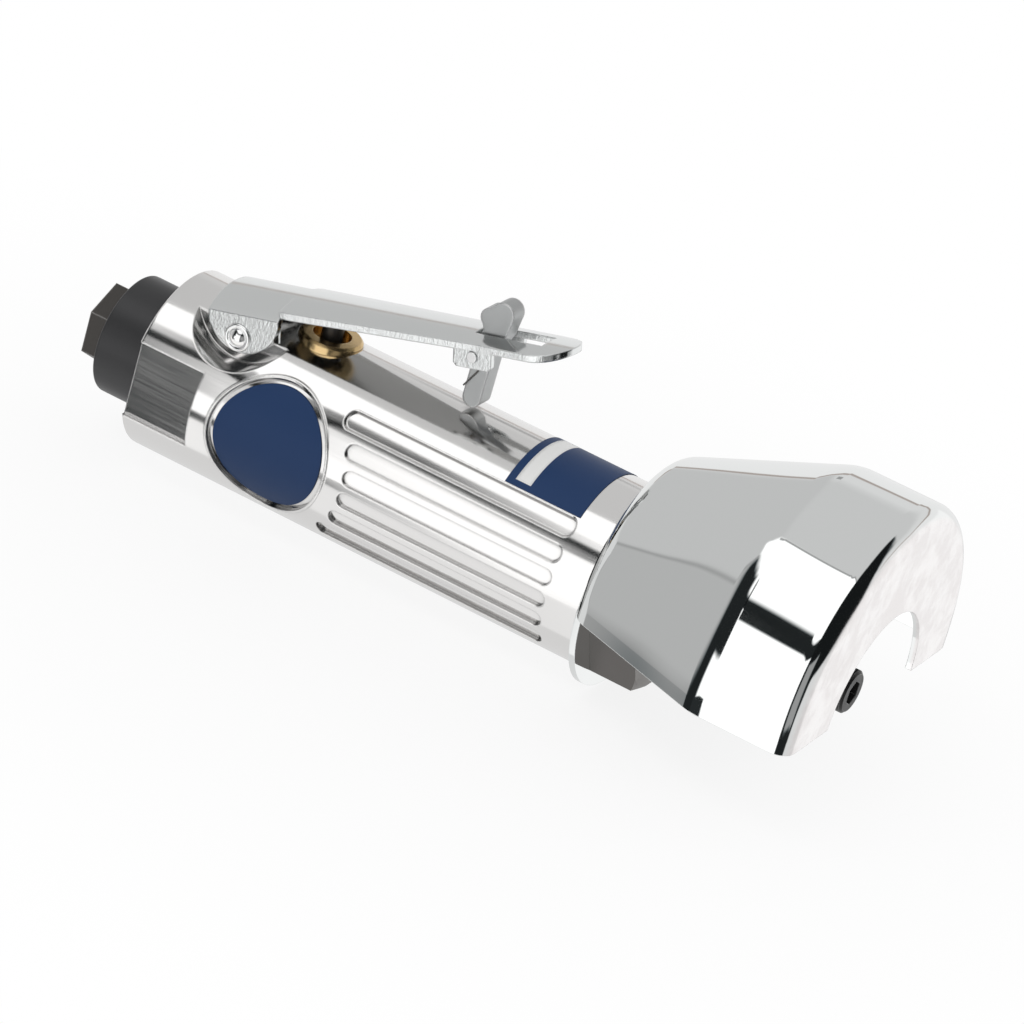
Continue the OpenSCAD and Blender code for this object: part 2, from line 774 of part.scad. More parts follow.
// Lock-off lever, drawn from its own pivot.
module at_lock_pin() {
    translate([lock_pin_x, 0, lock_pin_z]) children();
}

module lock_outline() {
    translate([knob_front_shift, knob_front_rise]) circle(knob_front_radius);
    translate([knob_back_shift, knob_back_rise]) circle(knob_back_radius);
    polygon([[leg_shift - leg_half, -tip_drop], [leg_shift + leg_half, -tip_drop],
             [leg_shift + leg_half, 0.6], [knob_front_shift + 2.1, 4.6],
             [knob_front_shift + knob_front_radius, knob_front_rise],
             [knob_front_shift - 1.3, knob_front_rise + knob_front_radius - 0.35],
             [knob_back_shift - 1.35, knob_back_rise + 1.45],
             [knob_back_shift - knob_back_radius, knob_back_rise],
             [knob_back_shift - 0.6, 4.4], [leg_shift - leg_half, 2.6]]);
    translate([leg_shift, -tip_drop]) circle(leg_half);
    circle(lock_pin_radius + 1.2);
}

module lock_off_lever() {
    half = lock_thickness / 2;
    color([0.62, 0.63, 0.63]) at_lock_pin() difference() {
        plate_y(-half, half) lock_outline();
        rod_y(0, 0, -half - over, half + over, lock_pin_radius + running_clearance);
    }
}

module lock_off_pin() {
    end = tab_outer + 0.4;
    color([0.55, 0.55, 0.56]) at_lock_pin() rod_y(0, 0, -end, end, lock_pin_radius);
}

module lock_off_spring() {
    curls = [for (q = coil(lock_coil_radius, lock_coil_pitch, lock_turns))
             [q[0], -lock_coil_start - q[2], -q[1]]];
    out = -lock_coil_start - lock_wire / 2;
    leg = [[-leg_half - 0.2, -lock_coil_start, -9.4], [-0.2, -lock_coil_start, -5.2],
           [lock_coil_radius, -lock_coil_start, -1.6]];
    points = concat(leg, curls);
    echo(lock_off_spring_gap = least_gap(points, 6, lock_wire));
    color([0.12, 0.12, 0.13]) at_lock_pin() wire_along(points, lock_wire);
}

// Air motor.
module at_dowel() {
    rotate([dowel_turn, 0, 0]) translate([0, 0, chamber_radius - dowel_inset]) children();
}

module at_duct() {
    rotate([duct_turn, 0, 0]) translate([0, 0, chamber_radius - duct_inset]) children();
}

module rear_end_plate() {
    color([0.72, 0.72, 0.73]) difference() {
        rod_x(chamber_x, cylinder_x, chamber_radius - seat_clearance);
        rod_x(chamber_x - over, chamber_x + rear_bearing_width,
              rear_bearing_radius + seat_clearance);
        rod_x(chamber_x, cylinder_x + over, rear_shaft_radius + 1);
        at_duct() rod_x(chamber_x - over, cylinder_x + over, port_radius);
        intersection() {
            ring_x(chamber_x - over, chamber_x + port_radius, chamber_radius - duct_inset / 2,
                   chamber_radius - 1.5 * duct_inset);
            translate([chamber_x - 2 * over, -port_radius, 0])
                cube([3 * over + port_radius, chamber_radius / 2, chamber_radius]);
        }
        at_dowel() rod_x(cylinder_x - dowel_depth, cylinder_x + over,
                         dowel_radius + seat_clearance);
        translate([chamber_x - over, -gallery_half_width, -chamber_radius - over])
            cube([rear_plate_length + 2 * over, 2 * gallery_half_width,
                  over + 1.5 * gallery_depth]);
    }
}

module motor_cylinder() {
    color([0.45, 0.45, 0.46]) difference() {
        rod_x(cylinder_x, front_plate_x, chamber_radius - seat_clearance);
        translate([0, 0, -bore_offset])
            rod_x(cylinder_x - over, front_plate_x + over, bore_radius);
        at_dowel() rod_x(cylinder_x - over, cylinder_x + 1.4 * dowel_depth,
                         dowel_radius + seat_clearance);
        at_duct() rod_x(cylinder_x - over, cylinder_x + 0.8 * cylinder_length, port_radius);
        for (i = [1:3]) {
            x = cylinder_x + i * cylinder_length / 4;
            rotate([duct_turn, 0, 0])
                rod_z(x, 0, rotor_radius - port_radius, chamber_radius - duct_inset,
                      0.75 * port_radius);
            rod_z(x, 0, -chamber_radius - over, -rotor_radius, port_radius);
        }
    }
}

module cylinder_dowel() {
    color([0.60, 0.60, 0.61]) at_dowel()
        rod_x(cylinder_x - dowel_depth, cylinder_x + 1.4 * dowel_depth, dowel_radius);
}

module front_end_plate() {
    color([0.72, 0.72, 0.73]) difference() {
        rod_x(front_plate_x, nut_thread_x, chamber_radius - seat_clearance);
        rod_x(nut_thread_x - front_bearing_width, nut_thread_x + over,
              front_bearing_radius + seat_clearance);
        rod_x(front_plate_x - over, nut_thread_x, shaft_radius + 1);
    }
}

module vane_slots(extra) {
    for (i = [0:vane_count - 1])
        rotate([90 * i, 0, 0])
            translate([cylinder_x + 0.05, -vane_thickness / 2 - extra, slot_floor])
                cube([cylinder_length - 0.1, vane_thickness + 2 * extra, rotor_radius]);
}

module rotor() {
    color([0.50, 0.50, 0.52]) difference() {
        union() {
            rod_x(cylinder_x + 0.15, front_plate_x - 0.15, rotor_radius);
            rod_x(chamber_x - 1, cylinder_x + over, rear_shaft_radius - seat_clearance);
            rod_x(front_plate_x - over, spindle_front, shaft_radius - seat_clearance);
        }
        vane_slots(running_clearance);
        rod_x(spindle_front - screw_engagement - 2, spindle_front + over,
              screw_radius + seat_clearance);
    }
}

module vane(turn) {
    color([0.42, 0.30, 0.16]) rotate([turn, 0, 0])
        translate([cylinder_x + 0.2, -vane_thickness / 2, slot_floor + 0.1])
            cube([cylinder_length - 0.4, vane_thickness, rotor_radius - slot_floor - 0.15]);
}

// Bearings. The balls of each are held by a wire cage.
module bearing_outer(x0, width, bore, outside) {
    ball = ball_radius(bore, outside);
    difference() {
        ring_x(x0, x0 + width, outside, pitch_radius(bore, outside) + ball * 0.8);
        torus_x(x0 + width / 2, pitch_radius(bore, outside), ball + running_clearance);
    }
}

module bearing_inner(x0, width, bore, outside) {
    ball = ball_radius(bore, outside);
    difference() {
        ring_x(x0, x0 + width, pitch_radius(bore, outside) - ball * 0.8, bore);
        torus_x(x0 + width / 2, pitch_radius(bore, outside), ball + running_clearance);
    }
}

module bearing_balls(x0, width, bore, outside) {
    pitch = pitch_radius(bore, outside);
    for (i = [0:ball_count - 1])
        rotate([360 * i / ball_count, 0, 0])
            translate([x0 + width / 2, 0, pitch]) sphere(ball_radius(bore, outside));
    torus_x(x0 + width / 2, pitch, 0.4);
}

module rear_bearing_outer() {
    color([0.70, 0.70, 0.72])
        bearing_outer(chamber_x, rear_bearing_width, rear_shaft_radius, rear_bearing_radius);
}

module rear_bearing_inner() {
    color([0.70, 0.70, 0.72])
        bearing_inner(chamber_x, rear_bearing_width, rear_shaft_radius, rear_bearing_radius);
}

module rear_bearing_balls() {
    color([0.78, 0.78, 0.80])
        bearing_balls(chamber_x, rear_bearing_width, rear_shaft_radius, rear_bearing_radius);
}

module front_bearing_outer() {
    color([0.70, 0.70, 0.72])
        bearing_outer(nut_thread_x - front_bearing_width, front_bearing_width, shaft_radius,
                      front_bearing_radius);
}

module front_bearing_inner() {
    color([0.70, 0.70, 0.72])
        bearing_inner(nut_thread_x - front_bearing_width, front_bearing_width, shaft_radius,
                      front_bearing_radius);
}

module front_bearing_balls() {
    color([0.78, 0.78, 0.80])
        bearing_balls(nut_thread_x - front_bearing_width, front_bearing_width, shaft_radius,
                      front_bearing_radius);
}

// Clamp nut and guard.
module clamp_nut() {
    corner = nut_flats / 2 / cos(30);
    color([0.48, 0.47, 0.46]) difference() {
        union() {
            rod_x(nut_thread_x, plate_front + 0.2, thread_radius - seat_clearance);
            intersection() {
                hex_x(plate_front, nut_front, nut_flats, 30);
                union() {
                    rod_x(plate_front, nut_front - 1.2, corner + over);
                    cone_x(nut_front - 1.2, nut_front, corner + 0.1, corner - 2);
                }
            }
        }
        rod_x(nut_thread_x - over, nut_front + over, shaft_radius + 0.6);
        rod_x(nut_thread_x - over, nut_thread_x + 2, front_bearing_radius - 1.5);
    }
}

// Half outline of the hood: radius across, depth up. With an inset it is the inside.
module hood_outline(inset) {
    back = back_rounding - inset;
    bend = flare_bend - inset;
    nose = front_rounding - inset;
    back_x = back_rounding;
    flare_radius = back_flat_radius + back * cos(flare_angle);
    flare_x = back_x - back * sin(flare_angle);
    corner_x = flare_x + (hood_radius - inset - flare_radius) / tan(flare_angle);
    bend_x = corner_x + bend * tan(flare_angle / 2);
    bend_radius = hood_radius - flare_bend;
    nose_x = guard_depth - front_rounding;
    polygon([[0, inset], [back_flat_radius, inset], [flare_radius, flare_x],
             [bend_radius + bend * cos(flare_angle), bend_x - bend * sin(flare_angle)],
             [hood_radius - inset, bend_x], [hood_radius - inset, nose_x],
             [hood_radius - front_rounding, nose_x + nose], [0, nose_x + nose]]);
    translate([back_flat_radius, back_x]) circle(back);
    translate([bend_radius, bend_x]) circle(bend);
    translate([hood_radius - front_rounding, nose_x]) circle(nose);
}

module hood_section() {
    difference() {
        hood_outline(0);
        hood_outline(guard_sheet);
    }
}

// The hood's arch, and the straight walls that run down from it to the lower edge.
module hood() {
    size = 3 * hood_radius;
    translate([housing_front, 0, hood_rise]) intersection() {
        rotate([0, 90, 0]) rotate_extrude() hood_section();
        translate([-over, -size / 2, 0]) cube([guard_depth + 2 * over, size, size]);
    }
    both_sides() translate([housing_front, 0, hood_edge]) linear_extrude(hood_rise - hood_edge)
        mirror([1, 0, 0]) rotate([0, 0, 90]) hood_section();
}

module guard() {
    color([0.87, 0.87, 0.88]) difference() {
        union() {
            hood();
            rod_x(housing_front, plate_front, plate_radius);
        }
        rod_x(housing_front - over, plate_front + over, thread_radius + seat_clearance);
        rod_x(guard_front - guard_sheet - over, guard_front + over, arch_opening);
    }
}

// Wheel drive.
module inner_flange() {
    color([0.40, 0.40, 0.41]) difference() {
        union() {
            rod_x(hub_back, flange_back + 0.2, hub_radius);
            rod_x(flange_back, flange_face, flange_radius);
            rod_x(flange_face - 0.2, boss_front, boss_radius);
        }
        rod_x(hub_back - over, spindle_front, shaft_radius);
        rod_x(hub_back, boss_front + over, screw_radius + seat_clearance);
        both_sides() translate([hub_back - over, hub_radius - 1, -hub_radius])
            cube([9, hub_radius, 2 * hub_radius]);
    }
}

module outer_flange() {
    color([0.40, 0.40, 0.41]) difference() {
        union() {
            rod_x(boss_front, washer_front - 0.8, washer_radius);
            cone_x(washer_front - 0.8, washer_front, washer_radius, washer_radius - 0.8);
        }
        rod_x(boss_front - over, washer_front + over, screw_radius + seat_clearance);
    }
}

module arbor_screw() {
    color([0.20, 0.20, 0.21]) difference() {
        union() {
            rod_x(spindle_front - screw_engagement, washer_front + 0.2, screw_radius);
            rod_x(washer_front, screw_face - 0.6, screw_head_radius);
            cone_x(screw_face - 0.6, screw_face, screw_head_radius, screw_head_radius - 0.6);
        }
        hex_x(screw_face - 3, screw_face + over, socket_flats, 0);
    }
}

// Labels, left bare.
module side_label() {
    color([0.10, 0.20, 0.42]) intersection() {
        rod_y(recess_x, 0, -tube_radius - over, 0, label_radius);
        ring_x(recess_x - recess_radius, recess_x + recess_radius,
               floor_radius + label_thickness, floor_radius + 0.01);
    }
}

module band_label() {
    stop = housing_front - band_margin;
    reach = 2 * tube_radius;
    side = reach * tan(band_half_angle);
    color([0.12, 0.23, 0.46]) intersection() {
        ring_x(stop - band_width, stop, tube_radius + band_thickness, tube_radius + 0.01);
        translate([stop - band_width - over, 0, 0]) rotate([90, 0, 90])
            linear_extrude(band_width + 2 * over)
                polygon([[0, 0], [side, reach], [-side, reach]]);
    }
}

motor_housing();
inlet_bushing();
inlet_screen();
inlet_oring();
exhaust_collar();
muffler_felt();
throttle_bushing();
throttle_stem();
valve_seal();
throttle_spring();
throttle_lever();
lever_pin();
lock_off_lever();
lock_off_pin();
lock_off_spring();
rear_end_plate();
motor_cylinder();
cylinder_dowel();
front_end_plate();
rotor();
vane(0);  // vane_1
vane(90);  // vane_2
vane(180);  // vane_3
vane(270);  // vane_4
rear_bearing_outer();
rear_bearing_inner();
rear_bearing_balls();
front_bearing_outer();
front_bearing_inner();
front_bearing_balls();
clamp_nut();
guard();
inner_flange();
outer_flange();
arbor_screw();
side_label();
band_label();
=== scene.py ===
# %% [markdown]
# # A pneumatic cut off tool in polished metal
# The tool is nearly all mirror chrome and polished aluminium. Such metals have almost no
# colour of their own and show the room instead, so this lesson spends its effort on
# three things: smooth surfaces with small rounded edges, a plain studio for them to
# reflect, and fine marks in the roughness and bump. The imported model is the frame. Its
# bodies stay where they are, and the detailed pieces below ride on them.

# %% Load the frame
import bpy
import bmesh
import json
from math import cos, sin, pi, radians
from mathutils import Matrix, Vector


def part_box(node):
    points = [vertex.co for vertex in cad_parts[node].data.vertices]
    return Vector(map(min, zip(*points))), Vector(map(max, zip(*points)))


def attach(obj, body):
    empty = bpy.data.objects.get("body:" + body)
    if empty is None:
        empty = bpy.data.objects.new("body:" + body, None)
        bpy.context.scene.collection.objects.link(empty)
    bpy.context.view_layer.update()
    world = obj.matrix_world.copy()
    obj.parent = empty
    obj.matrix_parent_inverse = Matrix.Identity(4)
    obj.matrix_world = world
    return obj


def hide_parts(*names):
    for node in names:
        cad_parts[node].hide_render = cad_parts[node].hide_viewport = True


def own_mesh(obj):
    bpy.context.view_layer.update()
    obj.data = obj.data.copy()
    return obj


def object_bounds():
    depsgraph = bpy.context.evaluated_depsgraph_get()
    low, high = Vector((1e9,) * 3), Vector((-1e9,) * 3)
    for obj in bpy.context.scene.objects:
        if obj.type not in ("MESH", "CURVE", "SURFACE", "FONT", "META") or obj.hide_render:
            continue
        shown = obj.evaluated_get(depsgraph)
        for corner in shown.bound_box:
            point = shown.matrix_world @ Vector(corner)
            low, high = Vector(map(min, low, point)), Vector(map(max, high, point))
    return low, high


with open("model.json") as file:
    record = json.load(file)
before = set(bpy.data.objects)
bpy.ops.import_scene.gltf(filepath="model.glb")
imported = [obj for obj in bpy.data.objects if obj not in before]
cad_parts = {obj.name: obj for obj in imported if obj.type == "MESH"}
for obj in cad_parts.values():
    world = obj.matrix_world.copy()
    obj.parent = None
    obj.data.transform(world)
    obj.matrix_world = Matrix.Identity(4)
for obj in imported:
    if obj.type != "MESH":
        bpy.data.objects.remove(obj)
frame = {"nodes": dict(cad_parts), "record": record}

cad_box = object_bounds()
nodes = frame["nodes"]
scene = bpy.context.scene
MM = 0.001

# %% [markdown]
# ## Camera
# The photograph was taken from the front right, a little above the tool, with a long
# lens and the camera rolled, so that the tool runs down to the right. The camera's axes
# are written as a matrix, because a rolled camera is hard to read as Euler angles.

# %% Camera
eye = Vector((0.52194, -1.01262, 0.52268))
right = Vector((0.8415, 0.4762, 0.2551)).normalized()
down = Vector((0.4176, -0.2738, -0.8664)).normalized()
ahead = right.cross(down).normalized()
picture_width = 1024
focal_pixels = 5605.96
camera_data = bpy.data.cameras.new("photo_camera")
camera_data.sensor_width = 36
camera_data.lens = focal_pixels * camera_data.sensor_width / picture_width
camera_data.clip_start = 0.05
camera = bpy.data.objects.new("photo_camera", camera_data)
scene.collection.objects.link(camera)
turn = Matrix((right, -down, -ahead)).transposed().to_4x4()
camera.matrix_world = Matrix.Translation(eye) @ turn
scene.camera = camera
scene.view_settings.view_transform = "Standard"
print("lens", round(camera_data.lens, 1), "mm")

# %% [markdown]
# ## Helpers for shader nodes
# A shader tree is easier to read when a step takes one line. These helpers add a node,
# do one sum, map a range or mix two colours, and give back the socket with the result.
# Each value may be a plain number, a colour or the socket of an earlier step.

# %% Helpers for shader nodes
def add(tree, kind, **inputs):
    node = tree.nodes.new(kind)
    for name, value in inputs.items():
        node.inputs[name.replace("_", " ")].default_value = value
    return node


def link(tree, source, target):
    tree.links.new(source, target)


def feed(tree, value, socket):
    """Links an earlier step to the socket, or writes a number or colour into it."""
    if isinstance(value, bpy.types.NodeSocket):
        link(tree, value, socket)
    elif isinstance(value, (int, float)):
        socket.default_value = value
    else:
        socket.default_value = (*value, 1)


def math_node(tree, operation, first, second=None, clamp=False):
    node = tree.nodes.new("ShaderNodeMath")
    node.operation = operation
    node.use_clamp = clamp
    feed(tree, first, node.inputs[0])
    if second is not None:
        feed(tree, second, node.inputs[1])
    return node.outputs[0]


def ramp_between(tree, value, low, high, start=0.0, stop=1.0):
    """Runs smoothly from start to stop while the value goes from low to high."""
    node = add(tree, "ShaderNodeMapRange", From_Min=low, From_Max=high, To_Min=start,
               To_Max=stop)
    node.interpolation_type = "SMOOTHSTEP"
    link(tree, value, node.inputs["Value"])
    return node.outputs[0]


def mix_colour(tree, first, second, factor=1.0, blend="MIX"):
    node = tree.nodes.new("ShaderNodeMix")
    node.data_type = "RGBA"
    node.blend_type = blend
    feed(tree, factor, node.inputs["Factor"])
    feed(tree, first, node.inputs["A"])
    feed(tree, second, node.inputs["B"])
    return node.outputs["Result"]


def mix_shader(tree, factor, first, second):
    node = tree.nodes.new("ShaderNodeMixShader")
    for source, socket in zip((factor, first, second), node.inputs):
        link(tree, source, socket)
    return node.outputs[0]


def part_of(tree, vector, axis):
    """The X, Y or Z part of a vector, as axis 0, 1 or 2."""
    split = add(tree, "ShaderNodeSeparateXYZ")
    link(tree, vector, split.inputs[0])
    return split.outputs[axis]


def coordinates(tree, kind):
    return add(tree, "ShaderNodeTexCoord").outputs[kind]


print("helpers ready")

# %% [markdown]
# ## The studio
# Chrome needs something to reflect. A photographer puts white paper and lamps all round
# it, and leaves dark gaps, which draw the black lines that make metal look like metal.
# Here the world does that for reflections alone. A direction in the world has three
# parts, towards the tool's front, left and top, and a sheet of paper is a range of each.
# A slow noise bends the ranges, because the real metal is never quite even and its
# reflections have wavy edges.

# %% Directions of the studio
world = bpy.data.worlds.new("studio")
scene.world = world
world.use_nodes = True
tree = world.node_tree
tree.nodes.clear()
direction = coordinates(tree, "Generated")
ripple = add(tree, "ShaderNodeTexNoise", Scale=3.2, Detail=1.5)
link(tree, direction, ripple.inputs["Vector"])
centred = add(tree, "ShaderNodeVectorMath")
centred.operation = "SUBTRACT"
centred.inputs[1].default_value = (0.5, 0.5, 0.5)
link(tree, ripple.outputs["Color"], centred.inputs[0])
bent = add(tree, "ShaderNodeVectorMath")
bent.operation = "MULTIPLY_ADD"
bent.inputs[1].default_value = (0.0, 0.10, 0.12)
link(tree, centred.outputs[0], bent.inputs[0])
link(tree, direction, bent.inputs[2])
towards = {name: part_of(tree, bent.outputs[0], axis)
           for axis, name in enumerate(("front", "left", "top"))}


def zone(soft, **limits):
    """1 where the direction lies within the given limits of front, left and top."""
    mask = 1.0
    for name, (low, high) in limits.items():
        for edge, step in ((low, soft), (high, -soft)):
            if abs(edge) < 1:
                inside = ramp_between(tree, towards[name], edge - step, edge + step)
                mask = math_node(tree, "MULTIPLY", mask, inside)
    return mask


def paint(level, mask, shade):
    """Paints over the level. The shade is the grey as a screen shows it."""
    gap = math_node(tree, "SUBTRACT", shade ** 2.2, level)
    return math_node(tree, "ADD", level, math_node(tree, "MULTIPLY", gap, mask))


print("direction nodes", len(tree.nodes))

# %% [markdown]
# The papers and boxes are painted one over another, from the large to the small, so a
# later line covers an earlier one. Each has the softness of its edge, its limits and its
# shade. A shade over 1 is a lamp, brighter than white paper. The limits were read off
# the photograph: each bright or dark patch on the guard, the tube or the lever was
# traced back to the direction that it mirrors.

# %% Papers and boxes
PAPERS = [
    (0.10, dict(top=(0.50, 1)), 0.795),
    # behind the tool: plain grey paper with a seam
    (0.06, dict(front=(-1, -0.40), top=(0.31, 1)), 0.77),
    (0.04, dict(front=(-1, -0.55), left=(-1, -0.27)), 0.715),
    (0.014, dict(front=(-1, -0.62), left=(-0.285, -0.262)), 0.62),
    # the far side: pale, below a thin line
    (0.03, dict(top=(-0.35, 0.255), left=(0.50, 1)), 0.93),
]
FAR_LINE = (0.014, dict(top=(0.255, 0.30), left=(0.55, 1)), 0.66)
BOXES = [
    # the near side: a dark room
    (0.04, dict(front=(-0.79, 1), left=(-1, -0.30), top=(-1, 0.80)), 0.16),
    (0.04, dict(front=(0.38, 1), left=(-1, 0.48), top=(-0.05, 1)), 0.12),
    # its upper white box, with a thin rim
    (0.02, dict(front=(-0.44, 0.38), left=(-1, -0.12), top=(0.63, 1)), 1.1),
    (0.03, dict(front=(-0.72, -0.3), left=(-0.50, -0.10), top=(0.70, 1)), 1.1),
    (0.012, dict(front=(-0.44, 0.38), left=(-0.13, -0.10), top=(0.56, 1)), 0.60),
    # its lower white box, in three steps
    (0.02, dict(front=(-0.36, 0.38), left=(-1, -0.3), top=(-1, 0.42)), 1.1),
    (0.03, dict(front=(-0.57, 0.38), left=(-1, -0.3), top=(-0.46, 0.03)), 1.1),
    (0.03, dict(front=(-0.60, 0.38), left=(-1, -0.2), top=(-1, -0.50)), 1.0),
    # in front and low: the paper that the flat front of the guard mirrors
    (0.05, dict(front=(0.05, 1), left=(0.55, 1), top=(-1, 0.05)), 0.985),
    # further to the front: a grey sheet for the views from the rear
    (0.030, dict(front=(0.52, 0.85), left=(-1, -0.45), top=(-0.35, 0.32)), 0.60),
    # the narrow slice that the straight tube mirrors: white, dark, the dark patch of
    # the wrench flats, the far side and the paper below
    (0.008, dict(front=(-0.400, -0.340), left=(-1, -0.40), top=(-0.33, 0.535)), 1.1),
    (0.008, dict(front=(-0.400, -0.340), left=(-1, -0.40), top=(0.545, 0.715)), 0.08),
    (0.006, dict(front=(-0.620, -0.366), left=(-1, -0.6), top=(-0.500, -0.370)), 0.19),
    (0.008, dict(front=(-0.364, -0.324), left=(0.55, 1), top=(0.37, 0.46)), 0.60),
    (0.020, dict(front=(-0.380, -0.310), left=(-1, -0.2), top=(-1, -0.50)), 0.92),
]
ROOM_LEVEL = 0.72
WARM_LINE, COOL_DARKS = (1.0, 0.88, 0.82), (0.83, 0.96, 1.0)
level = ROOM_LEVEL
for soft, limits, shade in PAPERS:
    level = paint(level, zone(soft, **limits), shade)
far_line = zone(FAR_LINE[0], **FAR_LINE[1])
level = paint(level, far_line, FAR_LINE[2])
for soft, limits, shade in BOXES:
    level = paint(level, zone(soft, **limits), shade)
warmed = mix_colour(tree, level, WARM_LINE, far_line, "MULTIPLY")
darkness = ramp_between(tree, level, 0.02, 0.35, 1.0, 0.0)
reflected = mix_colour(tree, warmed, COOL_DARKS, darkness, "MULTIPLY")
print("sheets and boxes", len(PAPERS) + len(BOXES) + 1)

# %% [markdown]
# Three kinds of ray ask the world for light, and each gets its own answer. The camera
# sees plain white, a mirror sees the painted papers, and everything matt gets an even
# light. Light Path tells the rays apart.

# %% World output
EVEN_LIGHT = 0.66
white = add(tree, "ShaderNodeBackground", Color=(1, 1, 1, 1), Strength=1.0)
mirrored = add(tree, "ShaderNodeBackground", Strength=1.0)
link(tree, reflected, mirrored.inputs["Color"])
even = add(tree, "ShaderNodeBackground", Color=(1, 1, 1, 1), Strength=EVEN_LIGHT)
path = add(tree, "ShaderNodeLightPath")
by_mirror = mix_shader(tree, path.outputs["Is Glossy Ray"], even.outputs[0],
                       mirrored.outputs[0])
by_camera = mix_shader(tree, path.outputs["Is Camera Ray"], by_mirror, white.outputs[0])
link(tree, by_camera, add(tree, "ShaderNodeOutputWorld").inputs["Surface"])
print("world nodes", len(tree.nodes))

# %% [markdown]
# ## Lamps
# Two large lamps give the matt pieces some shape, such as the black collar and the
# labels. Mirrors don't see them, because their studio is already painted.

# %% Lamps
def soft_lamp(name, place, aim, size, power):
    data = bpy.data.lights.new(name, "AREA")
    data.shape = "RECTANGLE"
    data.size = size[0]
    data.size_y = size[1]
    data.energy = power
    lamp = bpy.data.objects.new(name, data)
    lamp.location = place
    lamp.rotation_euler = (Vector(aim) - Vector(place)).to_track_quat("-Z", "Y").to_euler()
    lamp.visible_glossy = False
    scene.collection.objects.link(lamp)
    print(name, power, "W")


middle_of_tool = (0.1, 0, 0)
soft_lamp("key_lamp", (0.0, -0.55, 0.75), middle_of_tool, (0.5, 0.25), 1.6)
soft_lamp("fill_lamp", (0.6, 0.5, 0.6), middle_of_tool, (0.5, 0.5), 0.8)

# %% [markdown]
# ## Floor
# The floor keeps the soft shadow near the tool and fades to plain white further out, so
# that no horizon shows. The fade is a distance on the floor's own Object coordinates.

# %% Floor
floor_z = cad_box[0][2] - 0.3 * MM
floor_middle = (0.1, 0.0, floor_z)
floor_mesh = bpy.data.meshes.new("floor")
bm = bmesh.new()
bmesh.ops.create_grid(bm, x_segments=1, y_segments=1, size=3.0)
bmesh.ops.translate(bm, verts=bm.verts, vec=floor_middle)
bm.to_mesh(floor_mesh)
bm.free()
floor = bpy.data.objects.new("floor", floor_mesh)
scene.collection.objects.link(floor)
floor.visible_glossy = False
print("floor at", round(floor_z / MM, 2), "mm")

# %% Floor paper
fade_start, fade_end = 40 * MM, 220 * MM
glow_near, glow_far = 0.86, 1.0
floor_look = bpy.data.materials.new("floor_paper")
floor_look.use_nodes = True
tree = floor_look.node_tree
tree.nodes.clear()
distance = add(tree, "ShaderNodeVectorMath")
distance.operation = "DISTANCE"
distance.inputs[1].default_value = floor_middle
link(tree, coordinates(tree, "Object"), distance.inputs[0])
far = ramp_between(tree, distance.outputs["Value"], fade_start, fade_end, glow_near,
                   glow_far)
matt = add(tree, "ShaderNodeBsdfDiffuse", Color=(0.93, 0.93, 0.93, 1))
glow = add(tree, "ShaderNodeEmission", Color=(1, 1, 1, 1), Strength=1.0)
path = add(tree, "ShaderNodeLightPath")
glowing = math_node(tree, "MULTIPLY", far, path.outputs["Is Camera Ray"])
paper = mix_shader(tree, glowing, matt.outputs[0], glow.outputs[0])
link(tree, paper, add(tree, "ShaderNodeOutputMaterial").inputs["Surface"])
floor_mesh.materials.append(floor_look)
print("floor nodes", len(tree.nodes))

# %% [markdown]
# ## Effects that the finishes share
# Three effects come back on most metals, so each is a node group: fine polishing lines
# that run one way, small random marks, and a slow unevenness. A group only gives
# values. The shader stays in each material.

# %% Shared effects
def new_group(name, values):
    group = bpy.data.node_groups.new(name, "ShaderNodeTree")
    group.interface.new_socket("Vector", in_out="INPUT", socket_type="NodeSocketVector")
    for label, value in values:
        item = group.interface.new_socket(label, in_out="INPUT", socket_type="NodeSocketFloat")
        item.default_value = value
    group.interface.new_socket("Value", in_out="OUTPUT", socket_type="NodeSocketFloat")
    return group, group.nodes.new("NodeGroupInput"), group.nodes.new("NodeGroupOutput")


lines_group, given, result = new_group(
    "polish_lines", [("Along", 40.0), ("Across", 3000.0), ("Detail", 4.0)])
scales = add(lines_group, "ShaderNodeCombineXYZ")
for i, label in enumerate(("Along", "Across", "Across")):
    link(lines_group, given.outputs[label], scales.inputs[i])
stretched = add(lines_group, "ShaderNodeVectorMath")
stretched.operation = "MULTIPLY"
link(lines_group, given.outputs["Vector"], stretched.inputs[0])
link(lines_group, scales.outputs[0], stretched.inputs[1])
noise = add(lines_group, "ShaderNodeTexNoise", Scale=1.0, Roughness=0.7)
link(lines_group, given.outputs["Detail"], noise.inputs["Detail"])
link(lines_group, stretched.outputs[0], noise.inputs["Vector"])
link(lines_group, noise.outputs[0], result.inputs["Value"])

marks_group, given, result = new_group("small_marks", [("Scale", 900.0), ("Amount", 0.3)])
noise = add(marks_group, "ShaderNodeTexNoise", Detail=3.0, Roughness=0.6)
link(marks_group, given.outputs["Vector"], noise.inputs["Vector"])
link(marks_group, given.outputs["Scale"], noise.inputs["Scale"])
peaks = ramp_between(marks_group, noise.outputs[0], 0.60, 0.74)
marks = math_node(marks_group, "MULTIPLY", peaks, given.outputs["Amount"])
link(marks_group, marks, result.inputs["Value"])

uneven_group, given, result = new_group("unevenness", [("Scale", 40.0)])
noise = add(uneven_group, "ShaderNodeTexNoise", Detail=0.6, Roughness=0.5)
link(uneven_group, given.outputs["Vector"], noise.inputs["Vector"])
link(uneven_group, given.outputs["Scale"], noise.inputs["Scale"])
link(uneven_group, noise.outputs[0], result.inputs["Value"])
print("groups", [group.name for group in bpy.data.node_groups])

